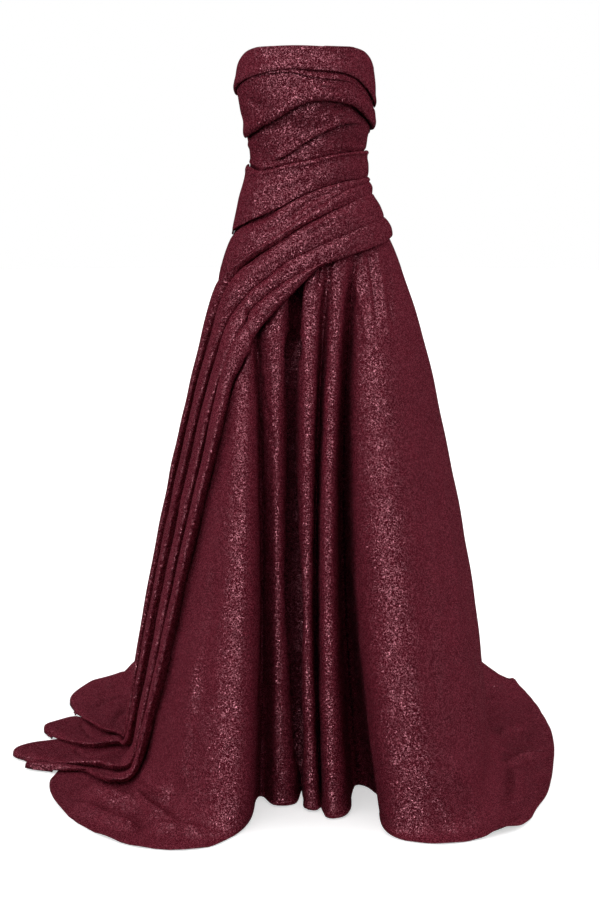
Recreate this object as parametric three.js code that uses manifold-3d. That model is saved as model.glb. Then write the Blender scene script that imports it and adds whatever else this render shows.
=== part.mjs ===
// A strapless evening gown, standing as it is worn: a draped bodice, four folds that cross the
// hip and run down the side to the train, and a full skirt whose back and sides pool on the floor.
//
// Frame, in millimetres: the origin is the middle of the waist, where the wearer holds the gown
// up. +Z is up, -Y is the front and +X is the wearer's left.
//
// Every piece of cloth is a wall on one form. A place on the form is an angle and a height:
// angle 0 is the centre front, +90 the wearer's left side and 180 the centre back. Below the
// floor level a height counts how far the cloth has run out along the floor.
import * as THREE from 'three';
import Module from 'manifold-3d';
import { mergeVertices } from 'three/addons/utils/BufferGeometryUtils.js';

// ---------------------------------------------------------------- driving dimensions
const CLOTH = 2;              // thickness of a cloth wall
const SEAM = 0.3;             // clearance between neighbouring pieces
const FLOOR = -1227;          // floor, below the waist
const KNEE = -640;            // height of the middle sections of the skirt
const HIP_SEAM = -175;        // height of the hip seam at the centre front
const HIP_SEAM_TILT = 40;     // rise of the hip seam from the centre to the wearer's left
const SIDE = 97;              // angle of the side seams
const SQUARENESS = 0.92;      // 1 gives elliptical sections, less gives squarer ones
const TUCK = 3.5;             // how far the form lies in where the drape covers it
const SIDE_CLEARANCE = 1.4;   // more room for the drape where that ends, at the side seams
const LAP = 0.8;              // room between the hip drape and the first long fold
const DRAPE_CLEARANCE = 1.8;  // room between the long folds and the skirt under them
const SPRING = 60;            // sets how the skirt springs out below the left end of the drape
const FLOOR_BEND = 60;        // largest run of the bend where the cloth meets the floor
const FLOOR_BEND_SHARE = 0.6; // share of the pooled cloth that a shorter bend takes

const GROUND = FLOOR + CLOTH; // level of the upper face of cloth that lies on the floor

// A table whose rows are read by the names of their columns.
const table = (names, rows) => rows.map((row) => Object.fromEntries(names.map((name, i) => [name, row[i]])));

// Sections of the torso, from the hips up.
const TORSO = [
  { z: -300, centre: 10, halfWidth: 190, front: 132, back: 140 },
  { z: -260, centre: 8, halfWidth: 182, front: 127, back: 136 },
  { z: -214, centre: 10, halfWidth: 170, front: 120, back: 130 },
  { z: -175, centre: 9, halfWidth: 160, front: 116, back: 124 },
  { z: -136, centre: 8, halfWidth: 148, front: 110, back: 117 },
  { z: -97, centre: 4, halfWidth: 132, front: 102, back: 106 },
  { z: -58, centre: -1, halfWidth: 119, front: 94, back: 95 },
  { z: -20, centre: 0, halfWidth: 112, front: 89, back: 87 },
  { z: 0, centre: 1, halfWidth: 111, front: 88, back: 84 },
  { z: 19, centre: 1, halfWidth: 112, front: 89, back: 84 },
  { z: 57, centre: 2, halfWidth: 119, front: 97, back: 86 },
  { z: 96, centre: 1, halfWidth: 127, front: 108, back: 89 },
  { z: 134, centre: -1, halfWidth: 133, front: 115, back: 92 },
  { z: 170, centre: -2, halfWidth: 132, front: 113, back: 92 },
  { z: 190, centre: -2, halfWidth: 129, front: 109, back: 90 },
  { z: 214, centre: -2, halfWidth: 124, front: 104, back: 88 },
];

// Height of the neckline, the same on both sides.
const NECKLINE = [
  { angle: 0, z: 214 },
  { angle: 40, z: 213 },
  { angle: 50, z: 211 },
  { angle: 65, z: 203 },
  { angle: 80, z: 187 },
  { angle: 90, z: 174 },
  { angle: 100, z: 165 },
  { angle: 125, z: 155 },
  { angle: 180, z: 150 },
];

// Heights of the pleat lines across the front, from the wearer's right side to the left.
const PLEATS = [
  { angle: -97, band: 128, tuck: 116, bust: 42, ribs: 10, waist: -9, hip: -142 },
  { angle: -70, band: 147, tuck: 135, bust: 50, ribs: 2, waist: -13, hip: -126 },
  { angle: -50, band: 160, tuck: 150, bust: 62, ribs: 0, waist: -20, hip: -112 },
  { angle: -35, band: 167, tuck: 160, bust: 73, ribs: 1, waist: -17, hip: -100 },
  { angle: -20, band: 172, tuck: 166, bust: 89, ribs: 12, waist: -10, hip: -83 },
  { angle: -8, band: 175, tuck: 165, bust: 105, ribs: 27, waist: -5, hip: -68 },
  { angle: 4, band: 173, tuck: 158, bust: 116, ribs: 43, waist: 0, hip: -55 },
  { angle: 16, band: 171, tuck: 154, bust: 117, ribs: 57, waist: 7, hip: -46 },
  { angle: 28, band: 168, tuck: 152, bust: 113, ribs: 68, waist: 12, hip: -40 },
  { angle: 42, band: 159, tuck: 143, bust: 104, ribs: 72, waist: 15, hip: -35 },
  { angle: 58, band: 137, tuck: 122, bust: 87, ribs: 66, waist: 16, hip: -33 },
  { angle: 74, band: 115, tuck: 103, bust: 74, ribs: 54, waist: 16, hip: -31 },
  { angle: 97, band: 103, tuck: 90, bust: 60, ribs: 42, waist: 17, hip: -30 },
];

// Where each pleat of the bodice stands proud of the next: how far round it runs and how deep it is.
const PLEAT_STEPS = {
  band: { from: -110, to: 110, rise: 5 },
  tuck: { from: -36, to: 36, rise: 3 },
  bust: { from: -84, to: 104, rise: 6 },
  ribs: { from: -40, to: 48, rise: 4 },
};
const PLEAT_FADE = 16;        // angle over which a pleat dies out
const PLEAT_LIP = 1.5;        // half the height over which the cloth turns in under a pleat
const WAIST_LEDGE = { above: 6, below: 8 };  // where the bodice turns in under the waist pleat

// The flutes of the skirt, one row for each crest, flank or valley, round from the centre back by
// the wearer's right side, the front and the left. The angle is where a row leaves the hip seam.
// The rest are its places at knee height, where it meets the floor, and at the hem.
const FLUTES = [
  { angle: -180, kneeX: 0, kneeY: 300, footX: 0, footY: 500, hemX: -10, hemY: 1195 },
  { angle: -165, kneeX: -75, kneeY: 325, footX: -125, footY: 540, hemX: -160, hemY: 1180 },
  { angle: -150, kneeX: -130, kneeY: 275, footX: -205, footY: 450, hemX: -290, hemY: 1090 },
  { angle: -135, kneeX: -195, kneeY: 255, footX: -300, footY: 430, hemX: -385, hemY: 940 },
  { angle: -122, kneeX: -225, kneeY: 180, footX: -330, footY: 300, hemX: -430, hemY: 740 },
  { angle: -108, kneeX: -250, kneeY: 105, footX: -362, footY: 190, hemX: -470, hemY: 520 },
  { angle: -97, kneeX: -250, kneeY: 35, footX: -358, footY: 80, hemX: -490, hemY: 300 },
  { angle: -90, kneeX: -240, kneeY: -25, footX: -348, footY: -5, hemX: -495, hemY: 120 },
  { angle: -82, kneeX: -224, kneeY: -80, footX: -336, footY: -70, hemX: -500, hemY: 0 },
  { angle: -75, kneeX: -204, kneeY: -122, footX: -322, footY: -130, hemX: -510, hemY: -110 },
  { angle: -69, kneeX: -185, kneeY: -165, footX: -300, footY: -205, hemX: -478, hemY: -235 },
  { angle: -63, kneeX: -164, kneeY: -204, footX: -268, footY: -275, hemX: -420, hemY: -350 },
  { angle: -57, kneeX: -142, kneeY: -232, footX: -220, footY: -340, hemX: -335, hemY: -445 },
  { angle: -52, kneeX: -116, kneeY: -240, footX: -165, footY: -388, hemX: -240, hemY: -478 },
  { angle: -47, kneeX: -98, kneeY: -222, footX: -122, footY: -385, hemX: -165, hemY: -450 },
  { angle: -44, kneeX: -91, kneeY: -185, footX: -103, footY: -325, hemX: -124, hemY: -360 },
  { angle: -41, kneeX: -88, kneeY: -132, footX: -98, footY: -205, hemX: -103, hemY: -218 },
  { angle: -37, kneeX: -77, kneeY: -160, footX: -84, footY: -172, hemX: -86, hemY: -184 },
  { angle: -28, kneeX: -60, kneeY: -192, footX: -60, footY: -228, hemX: -62, hemY: -240 },
  { angle: -17, kneeX: -44, kneeY: -178, footX: -22, footY: -211, hemX: -21, hemY: -223 },
  { angle: -10, kneeX: -28, kneeY: -92, footX: -9, footY: -132, hemX: -9, hemY: -142 },
  { angle: -4, kneeX: -12, kneeY: -186, footX: -3, footY: -240, hemX: -3, hemY: -250 },
  { angle: 2, kneeX: -1, kneeY: -206, footX: 9, footY: -262, hemX: 9, hemY: -272 },
  { angle: 7, kneeX: 12, kneeY: -193, footX: 24, footY: -247, hemX: 25, hemY: -257 },
  { angle: 11, kneeX: 19, kneeY: -102, footX: 28, footY: -145, hemX: 28, hemY: -155 },
  { angle: 15, kneeX: 28, kneeY: -200, footX: 35, footY: -282, hemX: 34, hemY: -292 },
  { angle: 20, kneeX: 42, kneeY: -221, footX: 58, footY: -302, hemX: 58, hemY: -312 },
  { angle: 25, kneeX: 56, kneeY: -203, footX: 80, footY: -264, hemX: 82, hemY: -274 },
  { angle: 30, kneeX: 67, kneeY: -98, footX: 92, footY: -126, hemX: 92, hemY: -136 },
  { angle: 34, kneeX: 77, kneeY: -98, footX: 118, footY: -120, hemX: 118, hemY: -130 },
  { angle: 38, kneeX: 83, kneeY: -165, footX: 141, footY: -185, hemX: 143, hemY: -197 },
  { angle: 41, kneeX: 91, kneeY: -214, footX: 140, footY: -300, hemX: 138, hemY: -315 },
  { angle: 45, kneeX: 113, kneeY: -249, footX: 160, footY: -385, hemX: 154, hemY: -405 },
  { angle: 50, kneeX: 147, kneeY: -268, footX: 215, footY: -410, hemX: 225, hemY: -444 },
  { angle: 57, kneeX: 186, kneeY: -256, footX: 278, footY: -385, hemX: 300, hemY: -430 },
  { angle: 65, kneeX: 222, kneeY: -215, footX: 325, footY: -325, hemX: 395, hemY: -368 },
  { angle: 73, kneeX: 252, kneeY: -150, footX: 352, footY: -235, hemX: 441, hemY: -257 },
  { angle: 82, kneeX: 278, kneeY: -75, footX: 368, footY: -118, hemX: 478, hemY: -139 },
  { angle: 92, kneeX: 295, kneeY: 0, footX: 376, footY: 10, hemX: 508, hemY: 30 },
  { angle: 102, kneeX: 298, kneeY: 80, footX: 380, footY: 120, hemX: 526, hemY: 180 },
  { angle: 114, kneeX: 282, kneeY: 160, footX: 362, footY: 235, hemX: 527, hemY: 340 },
  { angle: 126, kneeX: 252, kneeY: 230, footX: 338, footY: 360, hemX: 506, hemY: 560 },
  { angle: 138, kneeX: 190, kneeY: 245, footX: 262, footY: 395, hemX: 455, hemY: 720 },
  { angle: 150, kneeX: 150, kneeY: 300, footX: 215, footY: 490, hemX: 395, hemY: 900 },
  { angle: 165, kneeX: 70, kneeY: 290, footX: 110, footY: 470, hemX: 230, hemY: 1100 },
  { angle: 180, kneeX: 0, kneeY: 300, footX: 0, footY: 500, hemX: -10, hemY: 1195 },
];

// Valleys of the skirt that the drape lies across, by their angles in FLUTES.
const BRIDGED = [-44, -41, -37, -17, -10, -4, 7, 11, 15, 25, 30, 34, 38, 41];
const CRESTS = FLUTES.filter((row) => !BRIDGED.includes(row.angle));

// The four long folds. A row is a station along them, from the wearer's left side seam across the
// hip, down the right side and out along the floor. Each of the five lines that bound the folds
// has its angle and height there; height is how far the folds rise in the middle.
const FOLDS = table(['a1', 'z1', 'a2', 'z2', 'a3', 'z3', 'a4', 'z4', 'a5', 'z5', 'rise'], [
  [97, -40, 97, -61, 97, -106, 97, -141, 97, -141, 2],
  [84, -41, 84, -62, 84, -108, 84, -144, 84, -144, 6],
  [71, -43, 71, -64, 71, -110, 71, -149, 71, -149, 6],
  [58, -46, 59, -66, 59, -114, 59, -156, 59, -156, 6],
  [47, -50, 48, -70, 48, -118, 48, -162, 48, -162, 6],
  [36, -56, 37, -76, 37, -124, 37, -168, 37, -168, 6],
  [25, -66, 26, -85, 27, -131, 27, -174, 25, -177, 6],
  [14, -77, 15, -94, 16, -142, 16, -183, 13, -188, 7],
  [4, -91, 5, -106, 6, -154, 6, -194, 4, -201, 8],
  [-6, -108, -4, -119, -3, -168, -4, -206, -3, -221, 9],
  [-16, -127, -14, -137, -13, -184, -14, -222, -11, -243, 10],
  [-28, -150, -25, -158, -24, -209, -24.5, -241, -20.5, -268, 11],
  [-40, -172, -37, -178, -36.5, -233, -34.5, -260, -31, -297, 12],
  [-53, -196, -50, -203, -49, -258, -45, -282, -41.5, -327, 13],
  [-67, -217, -62, -230, -58.5, -284, -54, -315, -50, -355, 14],
  [-81, -238, -72.5, -263, -67, -318, -60, -350, -55, -382, 15],
  [-92, -272, -82.5, -306, -74, -362, -65.5, -386, -60, -412, 15],
  [-101, -330, -90, -366, -79.5, -414, -71, -432, -63.5, -452, 16],
  [-108, -440, -95.5, -468, -83.5, -500, -75, -516, -67.5, -530, 17],
  [-113, -620, -99.5, -630, -87, -640, -78.5, -645, -72, -650, 18],
  [-115, -800, -102.5, -800, -90, -800, -81, -800, -75.5, -800, 18],
  [-116, -980, -104, -980, -92, -980, -81.5, -980, -77, -980, 18],
  [-117, -1165, -104, -1165, -95, -1165, -83, -1165, -79, -1165, 16],
  [-117, -1225, -103, -1225, -97.5, -1225, -83, -1225, -77, -1225, 15],
  [-118, -1285, -102, -1285, -97.5, -1285, -83.5, -1285, -76, -1285, 15],
  [-120, -1400, -99, -1370, -92.5, -1355, -83.8, -1330, -77.5, -1318, 14],
  [-121, -1500, -98.8, -1430, -91.5, -1410, -82.5, -1385, -80, -1352, 12],
  [-123, -1655, -98.5, -1500, -91.2, -1470, -81.8, -1440, -79.6, -1397, 9],
]);
const FOLD_TIPS = [118, 65, 82, 70];   // how far each fold's tip runs out past its corners
const LEAST_FOLD = 5;         // a fold starts where it is at least this wide
// Cross section of a fold: its share of the way across, its share of the rise and, on the last
// row, its share of the tip.
const FOLD_SECTION = [
  { across: 0, rise: 0, tip: 0 },
  { across: 0.22, rise: 0.45, tip: 0.24 },
  { across: 0.5, rise: 0.86, tip: 0.58 },
  { across: 0.74, rise: 1, tip: 0.88 },
  { across: 0.93, rise: 0.7, tip: 0.93 },
  { across: 1, rise: 0.1, tip: 0.15 },
];

// How far the two pleats that wrap the waist and the high hip rise.
const WAIST_BAND_RISE = 7;
const HIP_BAND_RISE = 8;

// Skirt panels, from seam to seam. Their seams lie in the valleys of the front.
const SKIRT_PANELS = [
  { name: 'skirt_back_right', from: -180, to: -SIDE },
  { name: 'skirt_front_right', from: -SIDE, to: -39 },
  { name: 'skirt_front_centre', from: -39, to: 32 },
  { name: 'skirt_front_left', from: 32, to: SIDE },
  { name: 'skirt_back_left', from: SIDE, to: 180 },
];
const SKIRT_HEIGHTS = [-280, -400, -540, -700, -870, -1030];  // rows of a skirt wall, hip to floor

// The concealed zip in the centre back, and its slider and pull tab.
const ZIP = { width: 20, thickness: 1.2, clearance: 2.1, top: 144, bottom: -250, steps: 10 };
const SLIDER = { width: 6.4, height: 12, thickness: 1.4, top: 146, stand: 0.6 };
const LUG = { thickness: 1.2, radius: 2.2, reach: 3.2, hole: 1.05, drop: 5 };
const PULL = { width: 3.0, thickness: 1.2, length: 24, pin: 0.7, endWidth: 5.4, head: 1.2, end: 5 };

// ---------------------------------------------------------------- materials
const LAME = new THREE.MeshStandardMaterial({ color: 0x5b202c, roughness: 0.45, metalness: 0.35 });
const TAPE = new THREE.MeshStandardMaterial({ color: 0x3c1620, roughness: 0.8, metalness: 0 });
const METAL = new THREE.MeshStandardMaterial({ color: 0x6d2a37, roughness: 0.35, metalness: 0.8 });

// ---------------------------------------------------------------- interpolation
const radians = THREE.MathUtils.degToRad;
const mix = THREE.MathUtils.lerp;

// Smooth reading of one column of a table that is sorted by its key column.
function read(table, key, column, x) {
  const last = table.length - 1;
  let i = 0;
  while (i < last - 1 && x >= table[i + 1][key]) i += 1;
  const slope = (k) => {
    const low = table[Math.max(k - 1, 0)];
    const high = table[Math.min(k + 1, last)];
    return (high[column] - low[column]) / (high[key] - low[key]);
  };
  const width = table[i + 1][key] - table[i][key];
  const t = THREE.MathUtils.clamp((x - table[i][key]) / width, 0, 1);
  const t2 = t * t;
  const t3 = t2 * t;
  return (2 * t3 - 3 * t2 + 1) * table[i][column] + (t3 - 2 * t2 + t) * width * slope(i)
    + (3 * t2 - 2 * t3) * table[i + 1][column] + (t3 - t2) * width * slope(i + 1);
}

// Smooth reading of a column of the flutes, which close on themselves at the centre back.
function readFlute(flutes, column, angle) {
  const count = flutes.length - 1;
  let i = 0;
  while (i < count - 1 && angle >= flutes[i + 1].angle) i += 1;
  const t = (angle - flutes[i].angle) / (flutes[i + 1].angle - flutes[i].angle);
  const at = (k) => flutes[(k + count) % count][column];
  const [p0, p1, p2, p3] = [at(i - 1), at(i), at(i + 1), at(i + 2)];
  return 0.5 * (2 * p1 + (p2 - p0) * t + (2 * p0 - 5 * p1 + 4 * p2 - p3) * t * t
    + (3 * p1 - p0 - 3 * p2 + p3) * t * t * t);
}

// ---------------------------------------------------------------- the form of the gown
const hipSeam = (angle) => HIP_SEAM + HIP_SEAM_TILT * Math.sin(radians(angle));
const neckline = (angle) => read(NECKLINE, 'angle', 'z', Math.abs(angle));
const pleat = (name, angle) => read(PLEATS, 'angle', name, angle);

// The upper line of the long folds, as far as it crosses the front.
const DRAPE_LINE = FOLDS.filter((row) => row.a1 > -SIDE - 5).reverse();
const drapeLine = (angle) => read(DRAPE_LINE, 'a1', 'z1', angle);
const FRONT_ANGLES = DRAPE_LINE.map((row) => row.a1);   // columns of the walls across the front

// 1 under the drape of the front, 0 behind the side seams.
const underDrape = (angle) => THREE.MathUtils.smoothstep(SIDE - Math.abs(angle), 0, 12);

// How much further out the drape lies at the wearer's left side seam, where the tuck ends.
const overSide = (angle) => SIDE_CLEARANCE * (angle > 0 ? 1 - underDrape(angle) : 0);

function torso(angle, z, tucked) {
  const [centre, halfWidth, front, back] = ['centre', 'halfWidth', 'front', 'back']
    .map((column) => read(TORSO, 'z', column, z));
  const inset = tucked ? TUCK * underDrape(angle) : 0;
  const squared = (value) => Math.sign(value) * Math.abs(value) ** SQUARENESS;
  const sine = Math.sin(radians(angle));
  const cosine = Math.cos(radians(angle));
  const depth = (cosine > 0 ? front : back) - inset;
  return new THREE.Vector3(centre + (halfWidth - inset) * squared(sine), -depth * squared(cosine), z);
}

function skirt(angle, height, { tucked, flutes }) {
  const [kneeX, kneeY, footX, footY, hemX, hemY] = ['kneeX', 'kneeY', 'footX', 'footY', 'hemX', 'hemY']
    .map((column) => readFlute(flutes, column, angle));
  const top = torso(angle, hipSeam(angle), tucked);
  const run = Math.hypot(hemX - footX, hemY - footY);
  const bend = Math.min(FLOOR_BEND, FLOOR_BEND_SHARE * run);
  const standing = (z) => {
    const byTop = ((z - KNEE) * (z - GROUND)) / ((top.z - KNEE) * (top.z - GROUND));
    const byKnee = ((z - top.z) * (z - GROUND)) / ((KNEE - top.z) * (KNEE - GROUND));
    const byFoot = ((z - top.z) * (z - KNEE)) / ((GROUND - top.z) * (GROUND - KNEE));
    const down = Math.min((top.z - z) / (top.z - KNEE), 1);
    const spring = SPRING * down * (1 - down) ** 2 * Math.max(Math.sin(radians(angle)), 0) ** 6;
    return new THREE.Vector3(byTop * top.x + byKnee * kneeX + byFoot * footX + spring,
      byTop * top.y + byKnee * kneeY + byFoot * footY, z);
  };
  const lying = (distance) => new THREE.Vector3(footX + ((hemX - footX) / run) * distance,
    footY + ((hemY - footY) / run) * distance, GROUND);
  if (height >= GROUND + bend) return standing(height);
  if (height <= GROUND - bend) return lying(GROUND - height);
  const t = (GROUND + bend - height) / (2 * bend);
  return standing(GROUND + bend).multiplyScalar((1 - t) ** 2)
    .addScaledVector(lying(0), 2 * t * (1 - t)).addScaledVector(lying(bend), t * t);
}

const form = (angle, height, { tucked = false, flutes = FLUTES } = {}) => (height >= hipSeam(angle)
  ? torso(angle, height, tucked) : skirt(angle, height, { tucked, flutes }));

// Unit vector out of the form, from its slopes round and along.
function outward(angle, height, flutes) {
  const [turn, step] = [0.4, 1.5];
  const low = Math.max(angle - turn, -180);
  const high = Math.min(angle + turn, 180);
  const round = form(high, height, { flutes }).sub(form(low, height, { flutes }));
  const along = form(angle, height + step, { flutes }).sub(form(angle, height - step, { flutes }));
  return round.cross(along).normalize();
}

function hemHeight(angle) {
  const [footX, footY, hemX, hemY] = ['footX', 'footY', 'hemX', 'hemY']
    .map((column) => readFlute(FLUTES, column, angle));
  return GROUND - Math.hypot(hemX - footX, hemY - footY);
}

// ---------------------------------------------------------------- walls
// A closed wall between two grids of points, given as rows of columns: the outer face first.
function wall(outer, inner) {
  const rows = outer.length;
  const columns = outer[0].length;
  const points = [...outer.flat(), ...inner.flat()];
  const index = (side, row, column) => side * rows * columns + row * columns + column;
  const faces = [];
  const quad = (a, b, c, d) => faces.push([a, b, c], [a, c, d]);
  for (let row = 0; row < rows - 1; row += 1) {
    for (let column = 0; column < columns - 1; column += 1) {
      quad(index(0, row, column), index(0, row + 1, column),
        index(0, row + 1, column + 1), index(0, row, column + 1));
      quad(index(1, row, column), index(1, row, column + 1),
        index(1, row + 1, column + 1), index(1, row + 1, column));
    }
  }
  for (let row = 0; row < rows - 1; row += 1) {
    quad(index(0, row, 0), index(1, row, 0), index(1, row + 1, 0), index(0, row + 1, 0));
    quad(index(0, row, columns - 1), index(0, row + 1, columns - 1),
      index(1, row + 1, columns - 1), index(1, row, columns - 1));
  }
  for (let column = 0; column < columns - 1; column += 1) {
    quad(index(0, 0, column), index(0, 0, column + 1),
      index(1, 0, column + 1), index(1, 0, column));
    quad(index(0, rows - 1, column), index(1, rows - 1, column),
      index(1, rows - 1, column + 1), index(0, rows - 1, column + 1));
  }
  const volume = faces.reduce((sum, [a, b, c]) => sum
    + points[a].dot(new THREE.Vector3().crossVectors(points[b], points[c])), 0);
  const turned = volume < 0 ? faces.map(([a, b, c]) => [a, c, b]) : faces;
  const geometry = new THREE.BufferGeometry();
  geometry.setAttribute('position', new THREE.Float32BufferAttribute(points.flatMap((p) => [...p]), 3));
  geometry.setIndex(turned.flat());
  geometry.computeVertexNormals();
  return geometry;
}

// A wall on the form from rows of places. Each place has an angle, a height and how far it lies
// out; shift moves it round the form, in millimetres, to leave room at a seam.
function clothWall(rows, { tucked = false, level = false, flutes = FLUTES } = {}) {
  const outer = [];
  const inner = [];
  for (const row of rows) {
    const outerRow = [];
    const innerRow = [];
    for (const { angle, height, out = 0, shift = 0 } of row) {
      const normal = outward(angle, height, flutes);
      if (level) normal.setZ(0).normalize();
      const low = Math.max(angle - 0.5, -180);
      const high = Math.min(angle + 0.5, 180);
      const round = form(high, height, { flutes }).sub(form(low, height, { flutes })).normalize();
      const point = form(angle, height, { tucked, flutes }).addScaledVector(round, shift);
      outerRow.push(point.clone().addScaledVector(normal, out));
      innerRow.push(point.clone().addScaledVector(normal, out - CLOTH));
    }
    outer.push(outerRow);
    inner.push(innerRow);
  }
  return wall(outer, inner);
}

// Angles across a panel, with the half seam that each end gives up.
function columns(from, to, angles) {
  const all = [from, ...angles.filter((angle) => angle > from && angle < to), to];
  return all.map((angle, i) => ({
    angle,
    shift: i === 0 ? SEAM / 2 : (i === all.length - 1 ? -SEAM / 2 : 0),
  }));
}

const evenly = (from, to, count) => Array.from({ length: count + 1 }, (_, i) => mix(from, to, i / count));

function piece(name, geometry, material) {
  const mesh = new THREE.Mesh(geometry, material);
  mesh.name = name;
  return mesh;
}

// ---------------------------------------------------------------- bodice
function pleatStep(name, angle) {
  const { from, to, rise } = PLEAT_STEPS[name];
  return rise * THREE.MathUtils.smoothstep(angle - from, 0, PLEAT_FADE)
    * THREE.MathUtils.smoothstep(to - angle, 0, PLEAT_FADE);
}

// The front is pleated across: under each line the cloth falls back to the form.
function bodiceFront() {
  const across = columns(-SIDE, SIDE, FRONT_ANGLES);
  const above = (name) => (angle) => [pleat(name, angle) + PLEAT_LIP, pleatStep(name, angle)];
  const below = (name) => (angle) => [pleat(name, angle) - PLEAT_LIP, 0];
  const between = (high, low, out) => (angle) => [mix(pleat(high, angle), pleat(low, angle), 0.5), out];
  const covered = (share) => (angle) => [
    mix(pleat('waist', angle) - WAIST_LEDGE.below, hipSeam(angle) + SEAM / 2, share),
    -TUCK * underDrape(angle),
  ];
  const lines = [
    (angle) => [neckline(angle), 0],
    above('band'), below('band'),
    above('tuck'), below('tuck'),
    between('tuck', 'bust', 2),
    above('bust'), below('bust'),
    between('bust', 'ribs', 1),
    above('ribs'), below('ribs'),
    (angle) => [pleat('waist', angle) + WAIST_LEDGE.above, 0],
    covered(0), covered(0.3), covered(0.6), covered(1),
  ];
  const rows = lines.map((line) => across.map(({ angle, shift }) => {
    const [height, out] = line(angle);
    return { angle, height, out, shift };
  }));
  return piece('bodice_front', clothWall(rows, { level: true }), LAME);
}

function bodiceBack(name, from, to) {
  const across = columns(from, to, evenly(from, to, 6));
  const rows = evenly(0, 1, 8).map((share) => across.map(({ angle, shift }) => ({
    angle, shift, height: mix(neckline(angle), hipSeam(angle) + SEAM / 2, share),
  })));
  return piece(name, clothWall(rows, { level: true }), LAME);
}

// A pleat that wraps the front between an upper and a lower line, over the bodice.
function hipBand(name, upper, lower, rise) {
  const across = columns(-SIDE, SIDE, FRONT_ANGLES);
  const rows = FOLD_SECTION.map((section) => across.map(({ angle, shift }) => ({
    angle,
    shift,
    height: mix(upper(angle) - SEAM, lower(angle) + LAP, section.across),
    out: SEAM + CLOTH + overSide(angle) + rise * section.rise * mix(0.3, 1, underDrape(angle)),
  })));
  return piece(name, clothWall(rows, { level: true, flutes: CRESTS }), LAME);
}

// ---------------------------------------------------------------- long folds
const DRAPED = { flutes: CRESTS };

// Fold number 1 is the uppermost; each keeps half a seam from the lines on its two sides.
function longFold(number) {
  const stations = FOLDS.map((row) => {
    const [upperAngle, upper] = [row[`a${number}`], row[`z${number}`]];
    const [lowerAngle, lower] = [row[`a${number + 1}`], row[`z${number + 1}`]];
    const width = form(upperAngle, upper, DRAPED).distanceTo(form(lowerAngle, lower, DRAPED));
    return { upperAngle, upper, lowerAngle, lower, width, rise: row.rise };
  }).filter((station) => station.width > LEAST_FOLD);
  const rows = FOLD_SECTION.map((section) => stations.map((station, i) => {
    const tip = i === stations.length - 1 ? FOLD_TIPS[number - 1] * section.tip : 0;
    const share = mix(SEAM / station.width, 1 - SEAM / station.width, section.across);
    return {
      angle: mix(station.upperAngle, station.lowerAngle, share),
      height: mix(station.upper, station.lower, share) - tip,
      out: DRAPE_CLEARANCE + CLOTH + overSide(station.upperAngle) + station.rise * section.rise,
    };
  }));
  return piece(`drape_fold_${number}`, clothWall(rows, DRAPED), LAME);
}

// ---------------------------------------------------------------- skirt
function skirtPanel({ name, from, to }) {
  const crests = [from, ...FLUTES.map((row) => row.angle).filter((a) => a > from && a < to), to];
  const halves = crests.slice(1).map((angle, i) => (angle + crests[i]) / 2);
  const across = columns(from, to, [...crests, ...halves].sort((a, b) => a - b));
  const heights = (angle) => {
    const hem = hemHeight(angle);
    const bend = Math.min(FLOOR_BEND, FLOOR_BEND_SHARE * (GROUND - hem));
    return [hipSeam(angle) - SEAM / 2, ...SKIRT_HEIGHTS, GROUND + bend, GROUND, GROUND - bend, hem];
  };
  const count = heights(from).length;
  const rows = Array.from({ length: count }, (_, row) => across.map(({ angle, shift }) => ({
    angle, shift, height: heights(angle)[row],
  })));
  return piece(name, clothWall(rows, { tucked: true }), LAME);
}

// ---------------------------------------------------------------- zip
function zipTape() {
  const inside = CLOTH + ZIP.clearance;
  const rows = evenly(ZIP.top, ZIP.bottom, ZIP.steps).map((z) => form(180, z));
  const layer = (depth) => rows.map((p) => [ZIP.width / 2, -ZIP.width / 2]
    .map((x) => new THREE.Vector3(p.x + x, p.y - depth, p.z)));
  return piece('back_zip', wall(layer(inside), layer(inside + ZIP.thickness)), TAPE);
}

const wasm = await Module();
wasm.setup();

function solid(geometry) {
  const bare = geometry.clone();
  bare.deleteAttribute('normal');
  bare.deleteAttribute('uv');
  const merged = mergeVertices(bare, 1e-4);
  return new wasm.Manifold(new wasm.Mesh({
    numProp: 3,
    vertProperties: new Float32Array(merged.attributes.position.array),
    triVerts: new Uint32Array(merged.index.array),
  }));
}

function geometryOf(manifold) {
  const mesh = manifold.getMesh();
  const geometry = new THREE.BufferGeometry();
  geometry.setAttribute('position', new THREE.Float32BufferAttribute(mesh.vertProperties, 3));
  geometry.setIndex([...mesh.triVerts]);
  geometry.computeVertexNormals();
  return geometry;
}

const box = (x, y, z, cx, cy, cz) => new THREE.BoxGeometry(x, y, z).translate(cx, cy, cz);
const rod = (radius, length, cx, cy, cz) => new THREE.CylinderGeometry(radius, radius, length, 12)
  .rotateZ(Math.PI / 2).translate(cx, cy, cz);

// Middle of the pull tab's pin: behind the centre back, just under the top edge.
const backTop = form(180, SLIDER.top - SLIDER.height / 2);
const plateY = backTop.y + SLIDER.stand + SLIDER.thickness / 2;
const pin = new THREE.Vector3(backTop.x, plateY + LUG.reach, SLIDER.top - LUG.drop);

function zipSlider() {
  const lugX = PULL.width / 2 + SEAM + LUG.thickness / 2;
  let slider = solid(box(SLIDER.width, SLIDER.thickness, SLIDER.height,
    pin.x, plateY, SLIDER.top - SLIDER.height / 2));
  for (const side of [-1, 1]) {
    slider = slider.add(solid(box(LUG.thickness, LUG.reach, 2 * LUG.radius,
      pin.x + side * lugX, plateY + LUG.reach / 2, pin.z)));
    slider = slider.add(solid(rod(LUG.radius, LUG.thickness, pin.x + side * lugX, pin.y, pin.z)));
  }
  slider = slider.subtract(solid(rod(LUG.hole, 2 * SLIDER.width, pin.x, pin.y, pin.z)));
  return piece('zip_slider', geometryOf(slider), METAL);
}

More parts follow.
